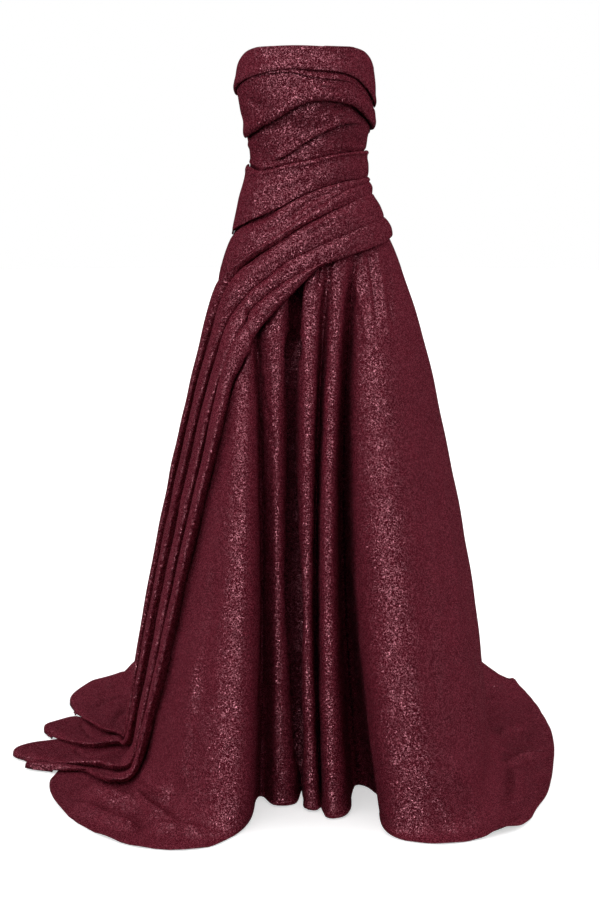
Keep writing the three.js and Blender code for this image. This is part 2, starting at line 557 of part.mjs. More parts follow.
// The tab hangs plumb from its pin, so it swings about a line along X through the pin.
function zipPull() {
  const outline = new THREE.Shape();
  outline.moveTo(-PULL.width / 2, PULL.head);
  outline.lineTo(-PULL.endWidth / 2, PULL.end - PULL.length);
  outline.absarc(0, PULL.end - PULL.length, PULL.endWidth / 2, Math.PI, 2 * Math.PI, false);
  outline.lineTo(PULL.width / 2, PULL.head);
  outline.closePath();
  const cut = { depth: PULL.thickness, bevelEnabled: false, curveSegments: 6 };
  const plate = new THREE.ExtrudeGeometry(outline, cut)
    .translate(0, 0, -PULL.thickness / 2).rotateX(Math.PI / 2).translate(pin.x, pin.y, pin.z);
  const reach = PULL.width + 2 * (SEAM + LUG.thickness);
  const axle = rod(PULL.pin, reach, pin.x, pin.y, pin.z);
  return piece('zip_pull', geometryOf(solid(plate).add(solid(axle))), METAL);
}

// ---------------------------------------------------------------- assembly
const waistLine = (angle) => pleat('waist', angle);
const hipLine = (angle) => pleat('hip', angle);

const gown = new THREE.Group();
gown.add(
  bodiceFront(),
  bodiceBack('bodice_back_right', -180, -SIDE),
  bodiceBack('bodice_back_left', SIDE, 180),
  hipBand('hip_drape_upper', waistLine, hipLine, WAIST_BAND_RISE),
  hipBand('hip_drape_lower', hipLine, drapeLine, HIP_BAND_RISE),
  ...[1, 2, 3, 4].map(longFold),
  ...SKIRT_PANELS.map(skirtPanel),
  zipTape(),
  zipSlider(),
  zipPull(),
);
export default gown;
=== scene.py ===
# A strapless evening gown in burgundy lame, standing as it is worn: its cloth, its finish, the
# light and the camera.
#
# The cloth lies on one form, worked out in millimetres round the middle of the waist. A place on
# the form is an angle and a height: angle 0 is the centre front, +90 the wearer's left side and
# 180 the centre back. Below the floor level a height counts how far the cloth has run out along
# the floor.
import math

import bpy
import numpy as np
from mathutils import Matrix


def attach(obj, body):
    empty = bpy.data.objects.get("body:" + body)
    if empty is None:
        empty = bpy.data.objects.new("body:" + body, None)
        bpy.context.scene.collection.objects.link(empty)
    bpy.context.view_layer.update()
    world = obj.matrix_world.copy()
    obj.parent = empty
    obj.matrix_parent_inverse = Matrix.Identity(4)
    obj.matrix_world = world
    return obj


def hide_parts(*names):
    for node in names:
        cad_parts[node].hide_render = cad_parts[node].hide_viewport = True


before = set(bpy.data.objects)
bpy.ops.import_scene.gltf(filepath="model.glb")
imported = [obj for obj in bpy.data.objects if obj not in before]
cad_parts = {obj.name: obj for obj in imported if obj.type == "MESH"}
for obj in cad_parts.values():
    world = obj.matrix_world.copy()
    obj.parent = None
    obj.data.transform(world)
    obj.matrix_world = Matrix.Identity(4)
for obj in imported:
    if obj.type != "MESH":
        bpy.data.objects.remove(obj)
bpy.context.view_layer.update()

MM = 0.001


# ------------------------------------------------------------------ camera
CAMERA_PLACE = (-0.0126, -4.0, 0.080)
CAMERA_PITCH = 9.24           # degrees below the horizon
CAMERA_LENS = 81.6            # millimetres
CAMERA_SENSOR = 36.0          # millimetres along the image's height

camera = bpy.data.objects.new("camera", bpy.data.cameras.new("camera"))
camera.location = CAMERA_PLACE
camera.rotation_euler = (math.radians(90 - CAMERA_PITCH), 0, 0)
camera.data.lens = CAMERA_LENS
camera.data.sensor_width = CAMERA_SENSOR
camera.data.clip_end = 100
bpy.context.collection.objects.link(camera)
bpy.context.scene.camera = camera


# ------------------------------------------------------------------ driving dimensions, millimetres
CLOTH = 2.0                   # wall of the solids
SHELL = 1.1                   # thickness of the cloth that shows
FLOOR = -1227.0
KNEE = -640.0
HIP_SEAM = -175.0
HIP_SEAM_TILT = 40.0          # how far it rises to the wearer's left
SIDE = 97.0                   # angle of the side seams
SEAM = 0.3                    # gap between a pleat and what it lies on
SQUARENESS = 0.92             # power that shapes the torso's sections: 1 is an ellipse
TUCK = 3.5                    # how far the form lies in where the drape covers it
HOLLOW = 11.0                 # how far the cloth lies in under the drape and the long folds
SPRING = 60.0                 # sets how the skirt springs out below the left end of the drape
FLOOR_BEND = 60.0             # most that the bend at the floor runs up and out
FLOOR_BEND_SHARE = 0.6        # and most of the cloth's run along the floor that it takes
GROUND = FLOOR + CLOTH        # where the cloth on the floor lies
FLOOR_FADE = (GROUND + 20, GROUND + 160)   # heights between which the cloth under the folds lies in
BAND_BASE = SEAM + CLOTH      # how far out the hip pleats lie
FOLD_BASE = 3.8               # how far out the long folds lie
SIDE_FADE = 12.0              # degrees in front of a side seam over which the drape takes effect
# How far below the waist each long fold starts and ends its turn from lapped to standing.
FOLDS_STAND = ((200, 380), (200, 380), (225, 400), (330, 470))


def table(columns, *rows):
    """A short table as one array for each named column."""
    return dict(zip(columns.split(), np.array(rows, float).T))


# Sections of the torso, from the hips up.
TORSO = table(
    "z centre half_width front back",
    (-300, 10, 190, 132, 140), (-260, 8, 182, 127, 136), (-214, 10, 170, 120, 130),
    (-175, 9, 160, 116, 124), (-136, 8, 148, 110, 117), (-97, 4, 132, 102, 106),
    (-58, -1, 119, 94, 95), (-20, 0, 112, 89, 87), (0, 1, 111, 88, 84), (19, 1, 112, 89, 84),
    (57, 2, 119, 97, 86), (96, 1, 127, 108, 89), (134, -1, 133, 115, 92), (170, -2, 132, 113, 92),
    (190, -2, 129, 109, 90), (214, -2, 124, 104, 88))

NECKLINE = table(
    "angle z",
    (0, 214), (40, 213), (50, 211), (65, 203), (80, 187), (90, 174), (100, 165), (125, 155),
    (180, 150))

# Heights of the pleat lines across the front, from the wearer's right side to the left.
PLEATS = table(
    "angle band tuck bust ribs waist hip",
    (-97, 128, 116, 42, 10, -9, -142), (-70, 147, 135, 50, 2, -13, -126),
    (-50, 160, 150, 62, 0, -20, -112), (-35, 167, 160, 73, 1, -17, -100),
    (-20, 172, 166, 89, 12, -10, -83), (-8, 175, 165, 105, 27, -5, -68),
    (4, 173, 158, 116, 43, 0, -55), (16, 171, 154, 117, 57, 7, -46),
    (28, 168, 152, 113, 68, 12, -40), (42, 159, 143, 104, 72, 15, -35),
    (58, 137, 122, 87, 66, 16, -33), (74, 115, 103, 74, 54, 16, -31),
    (97, 103, 90, 60, 42, 17, -30))

# The flutes of the skirt, one row for each crest, flank or valley: the angle where it leaves the
# hip seam, and its places at knee height, at the floor and at the hem.
FLUTES = table(
    "angle knee_x knee_y foot_x foot_y hem_x hem_y",
    (-180, 0, 300, 0, 500, -10, 1195), (-165, -75, 325, -125, 540, -160, 1180),
    (-150, -130, 275, -205, 450, -290, 1090), (-135, -195, 255, -300, 430, -385, 940),
    (-122, -225, 180, -330, 300, -430, 740), (-108, -250, 105, -362, 190, -470, 520),
    (-97, -250, 35, -358, 80, -490, 300), (-90, -240, -25, -348, -5, -495, 120),
    (-82, -224, -80, -336, -70, -500, 0), (-75, -204, -122, -322, -130, -510, -110),
    (-69, -185, -165, -300, -205, -478, -235), (-63, -164, -204, -268, -275, -420, -350),
    (-57, -142, -232, -220, -340, -335, -445), (-52, -116, -240, -165, -388, -240, -478),
    (-47, -98, -222, -122, -385, -165, -450), (-44, -91, -185, -103, -325, -124, -360),
    (-41, -88, -132, -98, -205, -103, -218), (-37, -77, -160, -84, -172, -86, -184),
    (-28, -60, -192, -60, -228, -62, -240), (-17, -44, -178, -22, -211, -21, -223),
    (-10, -28, -92, -9, -132, -9, -142), (-4, -12, -186, -3, -240, -3, -250),
    (2, -1, -206, 9, -262, 9, -272), (7, 12, -193, 24, -247, 25, -257),
    (11, 19, -102, 28, -145, 28, -155), (15, 28, -200, 35, -282, 34, -292),
    (20, 42, -221, 58, -302, 58, -312), (25, 56, -203, 80, -264, 82, -274),
    (30, 67, -98, 92, -126, 92, -136), (34, 77, -98, 118, -120, 118, -130),
    (38, 83, -165, 141, -185, 143, -197), (41, 91, -214, 140, -300, 138, -315),
    (45, 113, -249, 160, -385, 154, -405), (50, 147, -268, 215, -410, 225, -444),
    (57, 186, -256, 278, -385, 300, -430), (65, 222, -215, 325, -325, 395, -368),
    (73, 252, -150, 352, -235, 441, -257), (82, 278, -75, 368, -118, 478, -139),
    (92, 295, 0, 376, 10, 508, 30), (102, 298, 80, 380, 120, 526, 180),
    (114, 282, 160, 362, 235, 527, 340), (126, 252, 230, 338, 360, 506, 560),
    (138, 190, 245, 262, 395, 455, 720), (150, 150, 300, 215, 490, 395, 900),
    (165, 70, 290, 110, 470, 230, 1100), (180, 0, 300, 0, 500, -10, 1195))

# The four long folds: stations from the wearer's left side seam across the hip, down the right
# side and out along the floor. Five lines bound the folds; rise is how far they stand out.
FOLDS = table(
    "a1 z1 a2 z2 a3 z3 a4 z4 a5 z5 rise",
    (97, -40, 97, -61, 97, -106, 97, -141, 97, -141, 2),
    (84, -41, 84, -62, 84, -108, 84, -144, 84, -144, 6),
    (71, -43, 71, -64, 71, -110, 71, -149, 71, -149, 6),
    (58, -46, 59, -66, 59, -114, 59, -156, 59, -156, 6),
    (47, -50, 48, -70, 48, -118, 48, -162, 48, -162, 6),
    (36, -56, 37, -76, 37, -124, 37, -168, 37, -168, 6),
    (25, -66, 26, -85, 27, -131, 27, -174, 25, -177, 6),
    (14, -77, 15, -94, 16, -142, 16, -183, 13, -188, 7),
    (4, -91, 5, -106, 6, -154, 6, -194, 4, -201, 8),
    (-6, -108, -4, -119, -3, -168, -4, -206, -3, -221, 9),
    (-16, -127, -14, -137, -13, -184, -14, -222, -11, -243, 10),
    (-28, -150, -25, -158, -24, -209, -24.5, -241, -20.5, -268, 11),
    (-40, -172, -37, -178, -36.5, -233, -34.5, -260, -31, -297, 12),
    (-53, -196, -50, -203, -49, -258, -45, -282, -41.5, -327, 13),
    (-67, -217, -62, -230, -58.5, -284, -54, -315, -50, -355, 14),
    (-81, -238, -72.5, -263, -67, -318, -60, -350, -55, -382, 15),
    (-92, -272, -82.5, -306, -74, -362, -65.5, -386, -60, -412, 15),
    (-101, -330, -90, -366, -79.5, -414, -71, -432, -63.5, -452, 16),
    (-108, -440, -95.5, -468, -83.5, -500, -75, -516, -67.5, -530, 17),
    (-113, -620, -99.5, -630, -87, -640, -78.5, -645, -72, -650, 18),
    (-115, -800, -102.5, -800, -90, -800, -81, -800, -75.5, -800, 18),
    (-116, -980, -104, -980, -92, -980, -81.5, -980, -77, -980, 18),
    (-117, -1165, -104, -1165, -95, -1165, -83, -1165, -79, -1165, 16),
    (-117, -1225, -103, -1225, -97.5, -1225, -83, -1225, -77, -1225, 15),
    (-118, -1285, -102, -1285, -97.5, -1285, -83.5, -1285, -76, -1285, 15),
    (-120, -1400, -99, -1370, -92.5, -1355, -83.8, -1330, -77.5, -1318, 14),
    (-121, -1500, -98.8, -1430, -91.5, -1410, -82.5, -1385, -80, -1352, 12),
    (-123, -1655, -98.5, -1500, -91.2, -1470, -81.8, -1440, -79.6, -1397, 9))
FOLD_TIPS = (118, 65, 82, 70)     # how far each fold's tip reaches past its last station


# ------------------------------------------------------------------ the form
def read(tab, key, column, x):
    """Smooth reading of one column of a table that is sorted by its key column."""
    k, v = tab[key], tab[column]
    last = len(k) - 1
    low, high = np.maximum(np.arange(last + 1) - 1, 0), np.minimum(np.arange(last + 1) + 1, last)
    slope = (v[high] - v[low]) / (k[high] - k[low])
    i = np.clip(np.searchsorted(k, x, side="right") - 1, 0, last - 1)
    width = k[i + 1] - k[i]
    t = np.clip((x - k[i]) / width, 0, 1)
    return ((2 * t**3 - 3 * t**2 + 1) * v[i] + (t**3 - 2 * t**2 + t) * width * slope[i]
            + (3 * t**2 - 2 * t**3) * v[i + 1] + (t**3 - t**2) * width * slope[i + 1])


# Valleys that the drape lies across.
BRIDGED = [-44, -41, -37, -17, -10, -4, 7, 11, 15, 25, 30, 34, 38, 41]
CRESTS = {key: column[~np.isin(FLUTES["angle"], BRIDGED)] for key, column in FLUTES.items()}


def read_flutes(angle, flutes=FLUTES):
    """The six places of the flutes at any angle, on a curve that closes at the centre back."""
    keys = flutes["angle"]
    count = len(keys) - 1
    i = np.clip(np.searchsorted(keys, angle, side="right") - 1, 0, count - 1)
    t = (angle - keys[i]) / (keys[i + 1] - keys[i])
    places = []
    for column in ("knee_x", "knee_y", "foot_x", "foot_y", "hem_x", "hem_y"):
        p0, p1, p2, p3 = (flutes[column][(i + k) % count] for k in (-1, 0, 1, 2))
        places.append(0.5 * (2 * p1 + (p2 - p0) * t + (2 * p0 - 5 * p1 + 4 * p2 - p3) * t**2
                             + (3 * p1 - p0 - 3 * p2 + p3) * t**3))
    return places


def smoothstep(x, low, high):
    t = np.clip((np.asarray(x, float) - low) / (high - low), 0, 1)
    return t * t * (3 - 2 * t)


def mix(a, b, t):
    return a + (b - a) * t


def hip_seam(angle):
    return HIP_SEAM + HIP_SEAM_TILT * np.sin(np.radians(angle))


def neckline(angle):
    return read(NECKLINE, "angle", "z", np.abs(angle))


def pleat(name, angle):
    return read(PLEATS, "angle", name, angle)


CROSSING = FOLDS["a1"] > -SIDE - 5    # stations where the folds cross the front
DRAPE_LINE = {key: FOLDS[key][CROSSING][::-1] for key in ("a1", "z1")}


def drape_line(angle):
    return read(DRAPE_LINE, "a1", "z1", angle)


def under_drape(angle):
    """1 under the drape of the front, 0 behind the side seams."""
    return smoothstep(SIDE - np.abs(angle), 0, SIDE_FADE)


def folds_edge(height):
    """The angle of the front edge of the long folds at a height."""
    return np.interp(-height, -FOLDS["z5"], FOLDS["a5"])


def folds_stand(number, height):
    """0 where a long fold laps over the next one across the hip, 1 where it stands."""
    return smoothstep(-height, *FOLDS_STAND[number - 1])


def hollow(angle, height):
    """How far the skirt lies in under the drape and the long folds."""
    stand = folds_stand(4, height)
    back = np.minimum(np.interp(-height, -FOLDS["z1"], FOLDS["a1"]), -SIDE)
    return (HOLLOW * smoothstep(height, *FLOOR_FADE)
            * smoothstep(folds_edge(height) - angle, -mix(4, 0.6, stand), mix(2, 0.5, stand))
            * smoothstep(angle - back, -6, 0))


def torso(angle, z, tucked=False):
    centre, half_width, front, back = (read(TORSO, "z", column, z)
                                       for column in ("centre", "half_width", "front", "back"))
    inset = TUCK * under_drape(angle) if tucked else 0
    sine, cosine = np.sin(np.radians(angle)), np.cos(np.radians(angle))
    x = centre + (half_width - inset) * np.sign(sine) * np.abs(sine) ** SQUARENESS
    y = -((np.where(cosine > 0, front, back) - inset)
          * np.sign(cosine) * np.abs(cosine) ** SQUARENESS)
    return np.stack(np.broadcast_arrays(x, y, z), -1)


def floor_bend(angle, flutes=FLUTES):
    """The run of the bend at the floor, and the height that counts as the hem."""
    _, _, foot_x, foot_y, hem_x, hem_y = read_flutes(angle, flutes)
    run = np.hypot(hem_x - foot_x, hem_y - foot_y)
    return np.minimum(FLOOR_BEND, FLOOR_BEND_SHARE * run), GROUND - run


def skirt(angle, height, tucked=False, flutes=FLUTES):
    """A curve from the hip seam through knee to floor, then a bend, then flat out to the hem."""
    knee_x, knee_y, foot_x, foot_y, hem_x, hem_y = read_flutes(angle, flutes)
    top = torso(angle, hip_seam(angle), tucked)
    top_z = top[..., 2]
    bend, hem = floor_bend(angle, flutes)
    run = GROUND - hem

    def standing(z):
        by_top = (z - KNEE) * (z - GROUND) / ((top_z - KNEE) * (top_z - GROUND))
        by_knee = (z - top_z) * (z - GROUND) / ((KNEE - top_z) * (KNEE - GROUND))
        by_foot = (z - top_z) * (z - KNEE) / ((GROUND - top_z) * (GROUND - KNEE))
        down = np.minimum((top_z - z) / (top_z - KNEE), 1)
        spring = SPRING * down * (1 - down) ** 2 * np.maximum(np.sin(np.radians(angle)), 0) ** 6
        return np.stack([by_top * top[..., 0] + by_knee * knee_x + by_foot * foot_x + spring,
                         by_top * top[..., 1] + by_knee * knee_y + by_foot * foot_y, z], -1)

    def lying(distance):
        return np.stack([foot_x + (hem_x - foot_x) / run * distance,
                         foot_y + (hem_y - foot_y) / run * distance,
                         np.full_like(distance, GROUND)], -1)

    t = np.clip((GROUND + bend - height) / (2 * bend), 0, 1)[..., None]
    curve = ((1 - t) ** 2 * standing(GROUND + bend) + 2 * t * (1 - t) * lying(np.zeros_like(bend))
             + t**2 * lying(bend))
    return np.where((height >= GROUND + bend)[..., None], standing(height),
                    np.where((height <= GROUND - bend)[..., None], lying(GROUND - height), curve))


def form(angle, height, flutes=FLUTES):
    angle, height = np.broadcast_arrays(np.asarray(angle, float), np.asarray(height, float))
    return np.where((height >= hip_seam(angle))[..., None], torso(angle, height),
                    skirt(angle, height, flutes=flutes))


def outward(angle, height, level=False, flutes=FLUTES, turn=0.4):
    """Unit vectors out of the form, measured over a turn of some degrees; level ones lie flat."""
    step = 1.5
    low, high = np.maximum(angle - turn, -180), np.minimum(angle + turn, 180)
    round_it = form(high, height, flutes) - form(low, height, flutes)
    along_it = form(angle, height + step, flutes) - form(angle, height - step, flutes)
    normal = np.cross(round_it, along_it)
    if level:
        normal[..., 2] = 0
    return normal / np.linalg.norm(normal, axis=-1, keepdims=True)


def unit(vectors):
    return vectors / np.maximum(np.linalg.norm(vectors, axis=-1, keepdims=True), 1e-9)


# ------------------------------------------------------------------ cloth
def spread(points, count):
    """Evenly spaced places, count of them, on a smooth curve through the given ones."""
    return places_at(points, np.linspace(0, len(points) - 1, count))


def places_at(points, t):
    """Places on a smooth curve through the given ones, t counting from one to the next."""
    points = np.asarray(points, float)
    i = np.clip(t.astype(int), 0, len(points) - 2)
    u = (t - i).reshape((-1,) + (1,) * (points.ndim - 1))
    last = len(points) - 1
    p0, p1, p2, p3 = (points[np.clip(i + k, 0, last)] for k in (-1, 0, 1, 2))
    return 0.5 * (2 * p1 + (p2 - p0) * u + (2 * p0 - 5 * p1 + 4 * p2 - p3) * u**2
                  + (3 * p1 - p0 - 3 * p2 + p3) * u**3)


def grid_normals(points):
    return unit(np.cross(np.gradient(points, axis=1), -np.gradient(points, axis=0)))


def cloth_piece(node, points):
    """A thin shell in a solid's place, from a grid of places in millimetres.

    Its rows run down the grid and its columns to the wearer's left.
    """
    name = f"{node}_cloth"
    rows, columns = points.shape[:2]
    index = np.arange(rows * columns).reshape(rows, columns)
    corners = [index[:-1, :-1], index[1:, :-1], index[1:, 1:], index[:-1, 1:]]
    quads = np.stack(corners, -1).reshape(-1, 4)
    mesh = bpy.data.meshes.new(name)
    mesh.from_pydata((points.reshape(-1, 3) * MM).tolist(), [], quads.tolist())
    mesh.polygons.foreach_set("use_smooth", [True] * len(mesh.polygons))
    mesh.update()
    piece = bpy.data.objects.new(name, mesh)
    bpy.context.collection.objects.link(piece)
    piece.data.materials.append(LAME)
    shell = piece.modifiers.new("cloth", "SOLIDIFY")
    shell.thickness = SHELL * MM
    shell.offset = -1
    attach(piece, "gown")
    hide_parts(node)


# ------------------------------------------------------------------ creases
# Each crease: the places it passes as (angle, height), its width, how far it stands out, or lies in
# where negative, and for one the share of its length over which each end fades. They differ in
# length, depth and spacing as those of pressed and trodden cloth do.
BODICE_CREASES = (
    ([(-54, 118), (-46, 104), (-35, 98)], 8, -5), ([(6, 94), (21, 98), (42, 92)], 5, -6),
    ([(-48, 52), (-20, 66), (4, 62)], 10, -5), ([(-38, 128), (-16, 140), (-3, 131)], 7, -3),
    ([(7, 144), (18, 132), (34, 128)], 6, -3), ([(-8, 28), (10, 44), (36, 50)], 6, -4),
    ([(44, 40), (56, 34), (70, 30)], 6, -3), ([(52, 100), (64, 88), (80, 78)], 7, -4),
    ([(-80, 88), (-68, 80), (-55, 78)], 8, -4))
BACK_CREASES = (
    ([(112, 24), (134, 12), (158, 6)], 8, -4), ([(118, -22), (140, -16), (166, -10)], 7, -3),
    ([(108, 92), (124, 84), (146, 80)], 9, -3), ([(-108, 20), (-130, 8), (-160, 4)], 8, -4),
    ([(-112, -30), (-138, -22), (-165, -14)], 7, -3),
    ([(-106, 84), (-128, 78), (-150, 76)], 9, -3))
DRAPE_CREASES = (
    ([(-50, -68), (-18, -55), (6, -36)], 8, -3),
    ([(-16, -106), (-5, -88), (10, -67), (38, -48)], 5, -5),
    ([(-40, -140), (-18, -112), (0, -86)], 6, -4), ([(-8, -143), (10, -116), (36, -97)], 5, -4),
    ([(-60, -130), (-40, -112), (-22, -92)], 7, -4), ([(48, -78), (64, -74), (84, -70)], 6, -4),
    ([(40, -132), (60, -124), (82, -118)], 6, -3),
    ([(-121, -1600), (-113, -1560), (-105, -1540)], 14, 8),
    ([(-118, -1500), (-109, -1490), (-102, -1500)], 10, 6),
    ([(-116, -1400), (-108, -1370), (-101, -1360)], 12, 7),
    ([(-97, -1480), (-94.5, -1410), (-93, -1350)], 9, 6),
    ([(-90, -1400), (-87, -1360), (-84.5, -1310)], 9, 6))
SKIRT_CREASES = (
    # gathers and deep valleys under the drape
    ([(-9, -150), (-9, -240), (-9, -319), (-11, -400), (-10.5, -640), (-10, -900), (-10, -1190)],
     8, -75, 0.08),
    ([(-4.5, -320), (-5, -394), (-4.5, -460)], 3, -4),
    ([(7, -183), (6.5, -214), (6, -242)], 5, -10),
    ([(10, -190), (14.5, -262), (16.5, -345)], 4, -5),
    ([(-38, -400), (-36.5, -460), (-29, -482)], 6, -7),
    ([(-37, -497), (-30.5, -523), (-26, -543)], 5, -6),
    ([(28, -190), (40, -247), (45, -298), (47, -380)], 6, 5),
    ([(44, -165), (48.5, -205), (50.5, -262), (52, -345)], 5, -6),
    ([(54.5, -160), (56, -193), (57, -235), (57.5, -289), (58.5, -365)], 5, 5),
    ([(67, -210), (63, -265), (61, -335)], 8, -6),
    # long soft ones down the skirt
    ([(80, -540), (74, -760), (69.5, -901), (69.5, -1033), (70.5, -1190)], 16, 9),
    ([(65, -600), (60.5, -808), (59, -952), (57.5, -1110)], 26, -9),
    ([(-62, -700), (-61.5, -892), (-59.5, -1050)], 28, -8),
    ([(-64, -900), (-62.5, -1040), (-60.5, -1180)], 15, 7),
    # the pool to the wearer's right
    ([(-73, -1348), (-69, -1305), (-64, -1260)], 21, 27),
    ([(-70, -1372), (-63, -1342), (-59, -1318)], 18, 17),
    ([(-76, -1196), (-67.5, -1195), (-62, -1184)], 20, 18),
    ([(-70, -1240), (-63, -1255), (-57, -1256)], 22, 28),
    ([(-69, -1255), (-63, -1279), (-58, -1322)], 8, -9),
    ([(-58, -1322), (-55.5, -1270), (-52, -1246)], 20, 20),
    # the pool to the wearer's left
    ([(58.5, -1090), (63, -1162), (63.5, -1235)], 20, 9),
    ([(51, -1130), (54, -1189), (54, -1255)], 14, -7),
    ([(59, -1288), (64, -1297), (70, -1300)], 10, 11),
    ([(91, -1268), (80, -1266), (71, -1260)], 14, 12),
    ([(90, -1242), (93.5, -1285), (96, -1325)], 9, 10),
    ([(108, -1265), (110.5, -1303), (112, -1350)], 10, 11),
    ([(128, -1345), (126, -1384), (124, -1430)], 10, 10),
    # the back and the train
    ([(120, -260), (122, -560), (126, -900)], 24, -9),
    ([(146, -330), (148, -700), (145, -1080)], 30, -10),
    ([(168, -300), (165, -560), (168, -820)], 20, -7),
    ([(-124, -300), (-126, -640), (-122, -960)], 26, -9),
    ([(-150, -280), (-147, -620), (-150, -1040)], 28, -10),
    ([(-168, -420), (-170, -760), (-166, -1110)], 22, -8),
    ([(166, -1290), (160, -1500), (150, -1780)], 34, 16),
    ([(140, -1300), (134, -1450), (128, -1600)], 24, 12),
    ([(172, -1420), (169, -1620), (166, -1820)], 14, 8),
    ([(-160, -1270), (-154, -1480), (-147, -1680)], 32, 15),
    ([(-172, -1320), (-174, -1520), (-170, -1700)], 14, 8),
    ([(-134, -1290), (-128, -1400), (-122, -1500)], 20, 10))
CREASE_STEPS = 50             # places along each crease
CREASE_REACH = 3              # widths away from its line where a crease has died out
CRUMPLE_SIZE = 55.0           # sets how far apart the small unevennesses of the cloth lie
CRUMPLE_HANGING, CRUMPLE_LYING = 1.0, 4.0     # how deep they are where it hangs and where it lies
LIES_FROM, LIES_BY = 1170, 1260               # below the waist, where hanging turns to lying
LIFTED = 1.5                  # how far creased cloth stays off the cloth on the floor


def crease(angle, height, path, width, depth, ends=0.3):
    """How far out a crease moves the cloth at each place."""
    line = spread(path, CREASE_STEPS)
    one_degree = form(line[:, 0] + 0.5, line[:, 1]) - form(line[:, 0] - 0.5, line[:, 1])
    scale = np.stack([np.linalg.norm(one_degree, axis=1), np.ones(CREASE_STEPS)], 1)
    reach = CREASE_REACH * width / scale.min(0)
    places = np.stack(np.broadcast_arrays(angle, height), -1)
    near = ((places > line.min(0) - reach) & (places < line.max(0) + reach)).all(-1)
    moved = np.zeros(places.shape[:-1])
    if not near.any():
        return moved
    off = (places[near][:, None] - line[:-1]) * scale[:-1]
    run = np.diff(line, axis=0) * scale[:-1]
    t = np.clip((off * run).sum(-1) / (run * run).sum(-1), 0, 1)
    gap = np.linalg.norm(off - t[..., None] * run, axis=-1)
    nearest = gap.argmin(1)
    rows = np.arange(len(nearest))
    along = (nearest + t[rows, nearest]) / len(run)
    taper = smoothstep(along, 0, ends) * smoothstep(1 - along, 0, ends)
    moved[near] = depth * taper * np.exp(-((gap[rows, nearest] / width) ** 2))
    return moved


def crumple(points, height):
    """Slow unevenness of the cloth, deeper and only upward where it lies on the floor."""
    x, y, z = (points / CRUMPLE_SIZE).transpose((2, 0, 1))
    slow = (np.sin(1.7 * x + 0.6 * z + 1.3 * np.sin(0.8 * y + 0.5 * z))
            * np.sin(1.1 * y - 0.7 * z + 0.4))
    wave = slow + 0.5 * np.sin(2.9 * z + 1.9 * np.sin(1.3 * x - 0.9 * y))
    lying = smoothstep(-height, LIES_FROM, LIES_BY)
    return mix(CRUMPLE_HANGING * wave, CRUMPLE_LYING * np.abs(wave), lying)


def press(points, angle, height, creases, normals=None):
    """The grid of a piece with its creases pressed in along its normals, kept off the floor."""
    out = crumple(points, height) + sum(crease(angle, height, *one) for one in creases)
    pressed = points + (grid_normals(points) if normals is None else normals) * out[..., None]
    pressed[..., 2] = np.maximum(pressed[..., 2], np.minimum(points[..., 2], GROUND + LIFTED))
    return pressed


# ------------------------------------------------------------------ finishes
def shader(name):
    """A new material with its node tree and Principled shader, and a function that adds a node.

    The function sets each input to a value or links it, and gives back one of the outputs.
    """
    material = bpy.data.materials.new(name)
    material.use_nodes = True
    tree = material.node_tree

    def add(kind, inputs, output=0, **properties):
        node = tree.nodes.new("ShaderNode" + kind)
        for key, value in properties.items():
            setattr(node, key, value)
        for key, value in inputs.items():
            if isinstance(value, bpy.types.NodeSocket):
                tree.links.new(value, node.inputs[key])
            else:
                node.inputs[key].default_value = value
        return node.outputs[output]

    return material, tree, tree.nodes["Principled BSDF"], add


def finish_shader(tree, shader_node, **inputs):
    for key, value in inputs.items():
        socket = shader_node.inputs[key.replace("_", " ")]
        if isinstance(value, bpy.types.NodeSocket):
            tree.links.new(value, socket)
        else:
            socket.default_value = value


MIX_A, MIX_B, MIX_COLOUR = 6, 7, 2    # colour sockets of a Mix node


def shade(colour, share):
    """A darker or lighter shade of a colour, with its alpha."""
    return (*[share * c for c in colour], 1)


